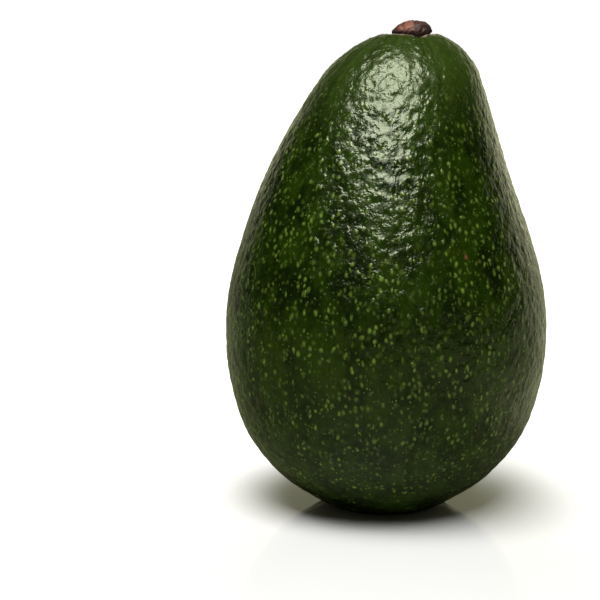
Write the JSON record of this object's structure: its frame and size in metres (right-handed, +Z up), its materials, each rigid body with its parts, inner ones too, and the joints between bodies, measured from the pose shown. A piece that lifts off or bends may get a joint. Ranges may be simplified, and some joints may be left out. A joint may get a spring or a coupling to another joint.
{
  "type": "avocado",
  "caption": "Whole green-skinned avocado with its dried stem button, standing on the flat spot at its blunt end.",
  "frame": {"origin": "on the surface that the fruit stands on, under the middle of its belly", "axes": "+Z up, from the blunt end to the stem; the neck leans towards +X; the picture looks along +Y"},
  "size_m": [0.0754, 0.0728, 0.1139],
  "materials": {
    "skin": "gloss",
    "stem": "matte"
  },
  "bodies": {
    "root": {"fruit": "skin", "stem_button": "stem"}
  },
  "joints": []
}
